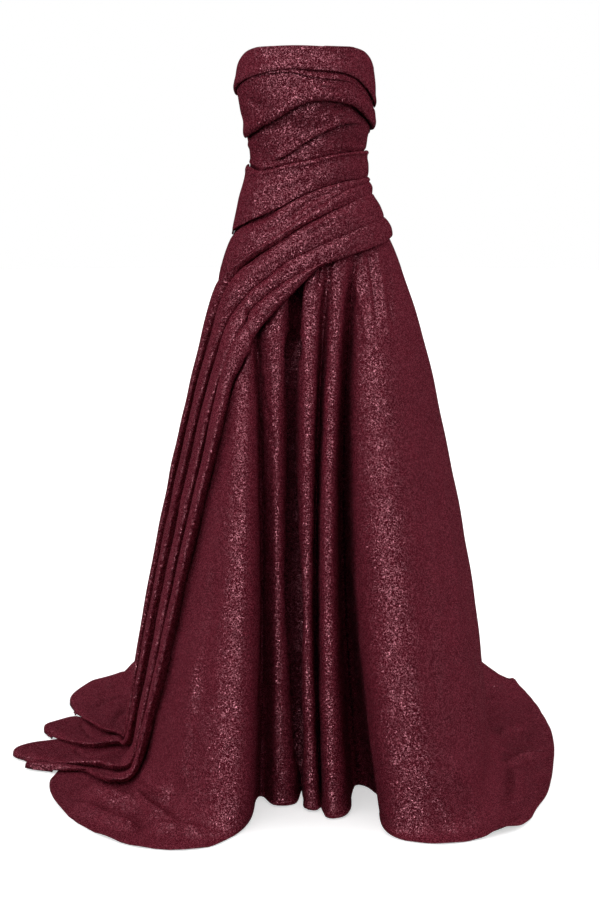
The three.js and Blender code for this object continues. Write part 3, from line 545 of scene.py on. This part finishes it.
def lame_finish(name, cloth, thread):
    """Burgundy cloth shot with a crinkled metal thread that glitters where it meets the light."""
    material, tree, principled, add = shader(name)
    at = add("TexCoord", {}, "Object")
    # the thread lies in short crinkled loops, about 3 mm long
    wander = add("TexNoise", {"Vector": at, "Scale": 300, "Detail": 1}, "Color")
    scaled = add("VectorMath", {0: wander, "Scale": 0.0022}, operation="SCALE")
    loops = add("VectorMath", {0: at, 1: scaled}, operation="ADD")
    worms = add("TexNoise", {"Vector": loops, "Scale": 290, "Detail": 1, "Roughness": 0.5})
    off_line = add("Math", {0: worms, 1: 0.5}, operation="SUBTRACT")
    beside = add("Math", {0: off_line}, operation="ABSOLUTE")
    shows = add("MapRange", {"Value": beside, "From Min": 0.055, "From Max": 0.03})
    # and is thinner in some places than in others
    strewn = add("TexNoise", {"Vector": at, "Scale": 34, "Detail": 2})
    density = add("MapRange", {"Value": strewn, "From Min": 0.36, "From Max": 0.56, "To Min": 0.5})
    thread_shows = add("Math", {0: shows, 1: density}, operation="MULTIPLY")
    # each bit of thread leans its own way
    flakes = add("TexVoronoi", {"Vector": at, "Scale": 520}, "Color")
    centred = add("VectorMath", {0: flakes, 1: (0.5, 0.5, 0.5)}, operation="SUBTRACT")
    lean = add("VectorMath", {0: centred, "Scale": 0.85}, operation="SCALE")
    crinkle = add("Bump", {"Height": worms, "Strength": 0.3, "Distance": 0.0008})
    tilted = add("VectorMath", {0: crinkle, 1: lean}, operation="ADD")
    normal = add("VectorMath", {0: tilted}, operation="NORMALIZE")
    # the ground cloth is slightly uneven in its dye, and darker between the threads
    patches = add("TexNoise", {"Vector": at, "Scale": 14, "Detail": 3})
    ground = add("Mix", {0: patches, MIX_A: shade(cloth, 0.5), MIX_B: shade(cloth, 0.85)},
                 MIX_COLOUR, data_type="RGBA")
    colour = add("Mix", {0: shows, MIX_A: ground, MIX_B: shade(cloth, 1.9)},
                 MIX_COLOUR, data_type="RGBA")
    finish_shader(tree, principled, Base_Color=colour, IOR=2.5, Roughness=0.39, Normal=normal,
                  Specular_IOR_Level=thread_shows, Specular_Tint=shade(thread, 1))
    return material


def plain_finish(name, colour, roughness, metallic, grain, depth):
    """A finish with a fine grain: the weave of a tape, or the orange peel of a lacquer."""
    material, tree, principled, add = shader(name)
    at = add("TexCoord", {}, "Object")
    height = add("TexNoise", {"Vector": at, "Scale": grain, "Detail": 3})
    bump = add("Bump", {"Height": height, "Strength": 0.4, "Distance": depth})
    tone = add("Mix", {0: height, MIX_A: shade(colour, 0.8), MIX_B: shade(colour, 1.2)},
               MIX_COLOUR, data_type="RGBA")
    finish_shader(tree, principled, Base_Color=tone, Roughness=roughness, Metallic=metallic,
                  Normal=bump)
    return material


LAME = lame_finish("lame", cloth=(0.118, 0.0125, 0.0235), thread=(1.0, 0.40, 0.49))
ZIP_TAPE = plain_finish("zip_tape", (0.045, 0.009, 0.014), roughness=0.85, metallic=0,
                        grain=1500, depth=0.0003)
ZIP_METAL = plain_finish("zip_metal", (0.15, 0.03, 0.05), roughness=0.35, metallic=0.8,
                         grain=900, depth=0.0001)


# ------------------------------------------------------------------ bodice
BODICE_HEIGHTS = (60, 130)    # where the columns of the bodice lie evenly apart
BODICE_ROWS, BODICE_SPACING = 190, 2.6
BACK_ROWS, BACK_SPACING = 80, 4
PLEAT_FADE = 16               # degrees over which a pleat of the bodice dies out at its ends

# Pleats of the bodice: how far round each runs, how far it stands out and over what height.
BODICE_PLEATS = {
    "band": dict(start=-110, end=110, rise=6.5, reach=18),
    "tuck": dict(start=-40, end=40, rise=4, reach=7),
    "bust": dict(start=-90, end=106, rise=10, reach=26),
    "ribs": dict(start=-40, end=56, rise=6, reach=14),
}
# Rows of the edge at the neckline, from inside: how far above it, and how far out.
NECK_EDGE = ((-12, -2.6), (-3, -2.4), (0.2, -1.2), (-0.6, 0.2), (-5, 0.5))
# Profile of a pleat, downwards: share of its reach above the line, where it is flat and where it is
# folded, and share of its rise.
PLEAT_PROFILE = table(
    "flat folded rise",
    (1.0, 1.0, 0.45), (0.5, 0.5, 0.8), (0.16, 0.14, 1.0), (0.05, -0.14, 0.88), (0, -0.2, 0.5),
    (-0.05, 0.1, 0.1), (-0.1, 0.6, -0.3), (-0.14, 0.62, -0.8), (-0.2, 0.2, -0.95),
    (-0.35, -0.25, -0.2))


def evenly_round(start, end, spacing, heights):
    """Angles from start to end whose places lie about evenly apart at the given heights."""
    fine = np.linspace(start, end, 3000)
    runs = [np.linalg.norm(np.diff(form(fine, h), axis=0), axis=1) for h in heights]
    total = np.concatenate([[0], np.cumsum(sum(runs) / len(heights))])
    columns = max(int(total[-1] / spacing), 2) + 1
    return np.interp(np.linspace(0, total[-1], columns), total, fine)


def bodice_front():
    angle = evenly_round(-SIDE, SIDE, BODICE_SPACING, BODICE_HEIGHTS)
    rows = []

    def row(height, out):
        rows.append(np.stack(np.broadcast_arrays(height, out, angle), -1)[..., :2])

    def fold(name):
        size = BODICE_PLEATS[name]
        line = pleat(name, angle)
        fade = (smoothstep(angle - size["start"], 0, PLEAT_FADE)
                * smoothstep(size["end"] - angle, 0, PLEAT_FADE))
        uneven = 1 + 0.18 * np.sin(angle / 11 + size["rise"]) * np.sin(angle / 23)
        for flat, folded, rise in zip(*PLEAT_PROFILE.values()):
            row(line + size["reach"] * mix(flat, folded, fade), size["rise"] * rise * fade * uneven)

    top = neckline(angle)
    for above, out in NECK_EDGE:
        row(top + above, out)
    row(mix(top, pleat("band", angle), 0.45), 1.5)
    fold("band")
    fold("tuck")
    row(mix(pleat("tuck", angle), pleat("bust", angle), 0.4), 2.5)
    fold("bust")
    row(mix(pleat("bust", angle), pleat("ribs", angle), 0.45), 1.8)
    fold("ribs")
    waist = pleat("waist", angle)
    row(mix(pleat("ribs", angle), waist, 0.6), 1.2)
    # under the drape the cloth lies in
    covered = -HOLLOW * under_drape(angle)
    row(waist + 5, 0.4)
    row(waist - 4, 0.6 * covered)
    row(waist - 15, covered)
    row(mix(waist, hip_seam(angle), 0.5), covered)
    row(hip_seam(angle) + 1, covered)
    places = spread(rows, BODICE_ROWS)
    height, out = places[..., 0], places[..., 1]
    around = np.broadcast_to(angle, height.shape)
    points = form(around, height) + outward(around, height, level=True) * out[..., None]
    cloth_piece("bodice_front", press(points, around, height, BODICE_CREASES))


def bodice_back(node, start, end):
    angle = evenly_round(start, end, BACK_SPACING, BODICE_HEIGHTS)
    share = np.linspace(0, 1, BACK_ROWS)[:, None]
    height = mix(neckline(angle) + 0.2, hip_seam(angle), share)
    around = np.broadcast_to(angle, height.shape)
    points = press(form(around, height), around, height, BACK_CREASES)
    cloth_piece(node, points)


# ------------------------------------------------------------------ pleats and long folds
# Cross sections of a pleat that laps over the one below it, and of a fold that stands and leans
# over the next: share of the way across, millimetres past it, share of the rise, millimetres out,
# and millimetres out where the cloth under it lies in.
LAPPED = table(
    "across over rise out sunk",
    (0, -6, 0, 0, -7), (0, 0, 0.02, 0, -6.5), (0.05, 0, 0.14, 0, -3.5), (0.14, 0, 0.42, 0, 0),
    (0.32, 0, 0.76, 0.3, 0), (0.52, 0, 0.95, 0.3, 0), (0.7, 0, 1.0, 0.3, 0),
    (0.86, 0, 0.9, 0.3, 0), (0.96, 0.6, 0.78, 0.3, 0), (1, 3.8, 0.52, 0.6, 0),
    (1, 4.6, 0.24, 1.0, -2), (1, 1, 0.04, 1.2, -5), (1, -5, 0, 1.2, -7))
STANDING = table(
    "across over rise out sunk",
    (0, -6, 0, 0, -7), (0, 0, 0, 0, -5), (0.14, 0, 0.1, 0, 0), (0.32, 0, 0.3, 0, 0),
    (0.52, 0, 0.52, 0, 0), (0.74, 0, 0.74, 0, 0), (0.95, 3, 0.92, 0, 0), (1, 13, 1, 0, 0),
    (1, 19, 0.97, 0, 0), (1, 21, 0.8, 0, 0), (1, 16, 0.48, 0, 0), (1, 8, 0.14, 0, -1),
    (1, -3, 0, 0, -7))
# The same for the pleat whose upper edge is rolled over the bodice at the waist.
ROLLED = table(
    "across over rise out sunk",
    (0, 7, 0, -1.5, 0), (0, 3, 0.05, -1.7, 0), (0, -1, 0.3, -0.8, 0), (0, -0.5, 0.62, 0, 0),
    (0.05, 0.5, 0.86, 0.2, 0), (0.14, 0, 0.6, 0.3, 0), (0.3, 0, 0.6, 0.3, 0),
    (0.52, 0, 0.95, 0.3, 0), (0.75, 0, 1.0, 0.3, 0), (0.94, 0, 0.75, 0.4, 0),
    (1, 2.2, 0.3, 0.8, 0), (1, 0, 0.04, 1.2, -5), (1, -5, 0, 1.2, -7))
STRIP_ROWS = 60
DRAPE_SPACING, DRAPE_HEIGHTS = 3, (-40, -90)  # of the hip pleats' columns, as for the bodice
FULL_OVERHANG = 25.0          # width from which a pleat's edge stands past its line in full


def widths(upper, lower):
    """How far apart two lines of places lie at each station."""
    return np.linalg.norm(form(*upper.T, CRESTS) - form(*lower.T, CRESTS), axis=1)


def strip(upper, lower, rise, sunk, lapped=LAPPED, stand=0.0, base=BAND_BASE):
    """A pleat between two lines of places, each an array of (angle, height) for its stations."""
    near, far = ({key: spread(v[:, None], STRIP_ROWS) for key, v in section.items()}
                 for section in (lapped, STANDING))
    section = {key: mix(near[key], far[key], stand) for key in near}
    width = widths(upper, lower)
    overhang = section["over"] * np.minimum(1, width / FULL_OVERHANG)
    share = section["across"] + overhang / np.maximum(width, 1)
    angle = mix(upper[:, 0], lower[:, 0], share)
    height = mix(upper[:, 1], lower[:, 1], share)
    out = base + section["out"] + rise * section["rise"] + sunk * section["sunk"]
    return angle, height, out, share


FOLD_LIFT = 1.25              # how much more the folds that show rise than their solids do
FOLD_STATIONS, TIP_STATIONS = 230, 41         # along a long fold, and along its last stretch
NARROWEST_FOLD = 5.0          # a long fold starts where it is this wide
TAIL_ROWS, ROLL_ROWS = 34, 7  # stations over which a tip runs out, and rolls down to the floor
# The outline of a tip: share of the way across, and share of its reach.
FOLD_TIP = table(
    "across reach",
    (0, 0), (0.22, 0.36), (0.45, 0.68), (0.66, 0.92), (0.78, 1), (0.87, 0.96), (0.94, 0.78),
    (1, 0.3))
ROUNDED_OVER = (-6, -3, 0, 3, 6)              # degrees over which crests under it are rounded
ROUNDED_FROM, ROUNDED_BY = -480, -360         # heights over which the rounding sets in


def drape_form(angle, height):
    """The form that the drape lies on: it bridges the skirt's valleys and rounds its crests."""
    plain = form(angle, height, CRESTS)
    rounded = sum(form(angle + turn, height, CRESTS) for turn in ROUNDED_OVER) / len(ROUNDED_OVER)
    return mix(plain, rounded, smoothstep(height, ROUNDED_FROM, ROUNDED_BY)[..., None])


def drape_piece(node, angle, height, out, level):
    """A piece of the drape from its places and how far out of the form each one lies."""
    normals = outward(angle, height, level, CRESTS, turn=3)
    points = drape_form(angle, height) + normals * out[..., None]
    cloth_piece(node, press(points, angle, height, DRAPE_CREASES))


def hip_pleat(node, upper, lower, rise, section):
    angle = evenly_round(-SIDE, SIDE, DRAPE_SPACING, DRAPE_HEIGHTS)
    sunk = under_drape(angle)
    lift = rise * mix(0.3, 1, sunk) * (1 + 0.1 * np.sin(angle / 13))
    lines = (np.stack([angle, line(angle)], 1) for line in (upper, lower))
    around, height, out, _ = strip(*lines, lift, sunk, section)
    drape_piece(node, around, height, out, True)


def long_fold(number):
    last = len(FOLDS["rise"]) - 1
    stations = np.concatenate([np.linspace(0, last - 1, FOLD_STATIONS),
                               np.linspace(last - 1, last, TIP_STATIONS)[1:]])
    fine = {key: places_at(v[:, None], stations)[:, 0] for key, v in FOLDS.items()}
    upper, lower = (np.stack([fine[f"a{line}"], fine[f"z{line}"]], 1)
                    for line in (number, number + 1))
    keep = widths(upper, lower) > NARROWEST_FOLD
    upper, lower, rise = upper[keep], lower[keep], fine["rise"][keep]
    before_end = len(upper) - 1 - np.arange(len(upper))
    tail = smoothstep(TAIL_ROWS - before_end, 0, TAIL_ROWS)
    sunk = smoothstep(SIDE - upper[:, 0], 0, SIDE_FADE) * smoothstep(upper[:, 1], *FLOOR_FADE)
    stand = folds_stand(number, upper[:, 1]) * (1 - tail)
    angle, height, out, across = strip(upper, lower, FOLD_LIFT * rise, sunk, stand=stand,
                                       base=FOLD_BASE)
    reach = read(FOLD_TIP, "across", "reach", np.clip(across, 0, 1))
    height = height - FOLD_TIPS[number - 1] * reach * tail
    roll = np.clip((ROLL_ROWS - before_end) / ROLL_ROWS, 0, 1)
    out = 1 + (out - 1) * np.sqrt(1 - roll**2)
    drape_piece(f"drape_fold_{number}", angle, height, out, False)


# ------------------------------------------------------------------ skirt
SKIRT_SPACING, SKIRT_HEIGHTS = 6, (-300, KNEE, GROUND)
ROWS_DOWN, ROWS_ROUND, ROWS_OUT = 90, 12, 40  # to the bend at the floor, round it, to the hem
UNDER_SEAM = 0.15             # how far below the hip seam a panel starts
EDGE_COLUMN = -72.0           # angle of the column that follows the front edge of the long folds
CLOSE_COLUMNS = np.linspace(-74, -70, 9)      # angles of more columns beside it
EDGE_ROOM = 12.0              # least angle between the folds' edge and a seam of the panel


def along_folds(angle, height, start, end):
    """Columns drawn over so that one of them runs down the front edge of the long folds."""
    edge = np.clip(folds_edge(height), start + EDGE_ROOM, end - EDGE_ROOM)
    before = mix(start, edge, (angle - start) / (EDGE_COLUMN - start))
    after = mix(edge, end, (angle - EDGE_COLUMN) / (end - EDGE_COLUMN))
    return np.where(angle < EDGE_COLUMN, before, after)


def skirt_rows(around):
    """Heights of a panel's places, for one angle a column or one angle a place."""
    bend, hem = floor_bend(around)
    ends = (hip_seam(around) - UNDER_SEAM, GROUND + bend, GROUND - bend, hem)
    share = [np.linspace(0, 1, ROWS_DOWN), np.linspace(0, 1, ROWS_ROUND + 1)[1:],
             np.linspace(0, 1, ROWS_OUT + 1)[1:]]
    stretch = np.repeat((0, 1, 2), (ROWS_DOWN, ROWS_ROUND, ROWS_OUT))[:, None]
    return mix(np.choose(stretch, ends[:-1]), np.choose(stretch, ends[1:]),
               np.concatenate(share)[:, None])


def skirt_panel(node, start, end, beside_folds=False):
    angle = evenly_round(start, end, SKIRT_SPACING, SKIRT_HEIGHTS)
    if beside_folds:
        angle = np.sort(np.concatenate([angle, CLOSE_COLUMNS]))
    around, height = angle, skirt_rows(angle)
    if beside_folds:
        # the edge's angle depends on the height, and the heights on the angle
        for _ in range(3):
            around = along_folds(angle, height, start, end)
            height = skirt_rows(around)
    around = np.broadcast_to(around, height.shape)
    points = np.where((height < hip_seam(around))[..., None], skirt(around, height, tucked=True),
                      form(around, height))
    # the form's own normals, so that the creases of neighbouring panels meet at the seam
    normals = outward(around, height)
    points = points - normals * hollow(around, height)[..., None]
    cloth_piece(node, press(points, around, height, SKIRT_CREASES, normals))


bodice_front()
bodice_back("bodice_back_right", -180, -SIDE)
bodice_back("bodice_back_left", SIDE, 180)
hip_pleat("hip_drape_upper", lambda a: pleat("waist", a), lambda a: pleat("hip", a), 7, ROLLED)
hip_pleat("hip_drape_lower", lambda a: pleat("hip", a), drape_line, 8, LAPPED)
for number in (1, 2, 3, 4):
    long_fold(number)
skirt_panel("skirt_back_right", -180, -SIDE)
skirt_panel("skirt_front_right", -SIDE, -39, beside_folds=True)
skirt_panel("skirt_front_centre", -39, 32)
skirt_panel("skirt_front_left", 32, SIDE)
skirt_panel("skirt_back_left", SIDE, 180)

for node, finish in (("back_zip", ZIP_TAPE), ("zip_slider", ZIP_METAL), ("zip_pull", ZIP_METAL)):
    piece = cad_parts[node]
    piece.data.materials.clear()
    piece.data.materials.append(finish)


# ------------------------------------------------------------------ studio
STAGE_RADIUS = 14.0           # metres
BACKDROP_WALL, BACKDROP_TOP = 6.0, 14.0       # heights of the backdrop's edge and middle, metres
MIDDLE = 0.001                # radius of the small hole in the middle of a turned surface, metres
UNDER_HEM = 0.0003            # how far the floor lies below the gown, metres
CARPET_DEPTH = 0.02           # and the carpet, which shades the gown from below, under the floor
BACKDROP = 1.0                # radiance of the backdrop
FLOOR_COLOUR, FLOOR_GLOW = 0.8, 0.52          # which together look like the backdrop
CARPET_COLOUR = 0.05
ROOM = 0.90                   # soft light that comes from all round, above the floor
LIGHTS = {
    "key": dict(azimuth=-22, elevation=16, spread=30, power=1.5, diffuse=False),
    "top": dict(azimuth=-12, elevation=66, spread=26, power=0.8, diffuse=False),
    "front": dict(azimuth=-22, elevation=30, spread=50, power=0.5, glossy=False),
    "fill_right": dict(azimuth=96, elevation=12, spread=60, power=1.3, glossy=False),
    "fill_left": dict(azimuth=-86, elevation=15, spread=60, power=1.0, glossy=False),
}


def turned(name, profile, material):
    """A surface turned round the gown's axis from a profile of (radius, height), for the stage."""
    turns = 64
    points = [(r * math.cos(2 * math.pi * k / turns), r * math.sin(2 * math.pi * k / turns), z)
              for r, z in profile for k in range(turns)]
    faces = [(i + k, i + (k + 1) % turns, i + turns + (k + 1) % turns, i + turns + k)
             for i in range(0, (len(profile) - 1) * turns, turns) for k in range(turns)]
    mesh = bpy.data.meshes.new(name)
    mesh.from_pydata(points, [], faces)
    mesh.polygons.foreach_set("use_smooth", [True] * len(faces))
    piece = bpy.data.objects.new(name, mesh)
    piece.data.materials.append(material)
    bpy.context.collection.objects.link(piece)
    return piece


def glowing(name, grey, glow):
    material, tree, principled, _ = shader(name)
    finish_shader(tree, principled, Base_Color=(grey, grey, grey, 1), Roughness=0.9,
                  Specular_IOR_Level=0.0, Emission_Color=(1, 1, 1, 1), Emission_Strength=glow)
    return material


def sunlight(name, azimuth, elevation, spread, power, diffuse=True, glossy=True):
    """Soft light from one direction: azimuth 0 is the front, positive the wearer's left."""
    lamp = bpy.data.objects.new(name, bpy.data.lights.new(name, "SUN"))
    lamp.data.energy = power
    lamp.data.angle = math.radians(spread)
    lamp.visible_diffuse, lamp.visible_glossy = diffuse, glossy
    lamp.rotation_euler = (math.radians(90 - elevation), 0, math.radians(azimuth))
    bpy.context.collection.objects.link(lamp)


floor_level = FLOOR * MM - UNDER_HEM
floor = turned("floor", [(MIDDLE, floor_level), (STAGE_RADIUS, floor_level)],
               glowing("floor", FLOOR_COLOUR, FLOOR_GLOW))
backdrop = turned("backdrop", [(STAGE_RADIUS, floor_level), (STAGE_RADIUS, BACKDROP_WALL),
                               (MIDDLE, BACKDROP_TOP)], glowing("backdrop", 0.0, BACKDROP))
for bright in (floor, backdrop):
    bright.visible_diffuse = False
    bright.visible_glossy = False
backdrop.visible_shadow = False
carpet_level = floor_level - CARPET_DEPTH
turned("carpet", [(MIDDLE, carpet_level), (STAGE_RADIUS, carpet_level)],
       glowing("carpet", CARPET_COLOUR, 0.0))

for name, light in LIGHTS.items():
    sunlight(name, **light)
world = bpy.data.worlds.new("room")
bpy.context.scene.world = world
world.use_nodes = True
background = world.node_tree.nodes["Background"]
background.inputs["Color"].default_value = (1, 1, 1, 1)
background.inputs["Strength"].default_value = ROOM
world.cycles_visibility.glossy = False
bpy.context.scene.view_settings.view_transform = "Standard"
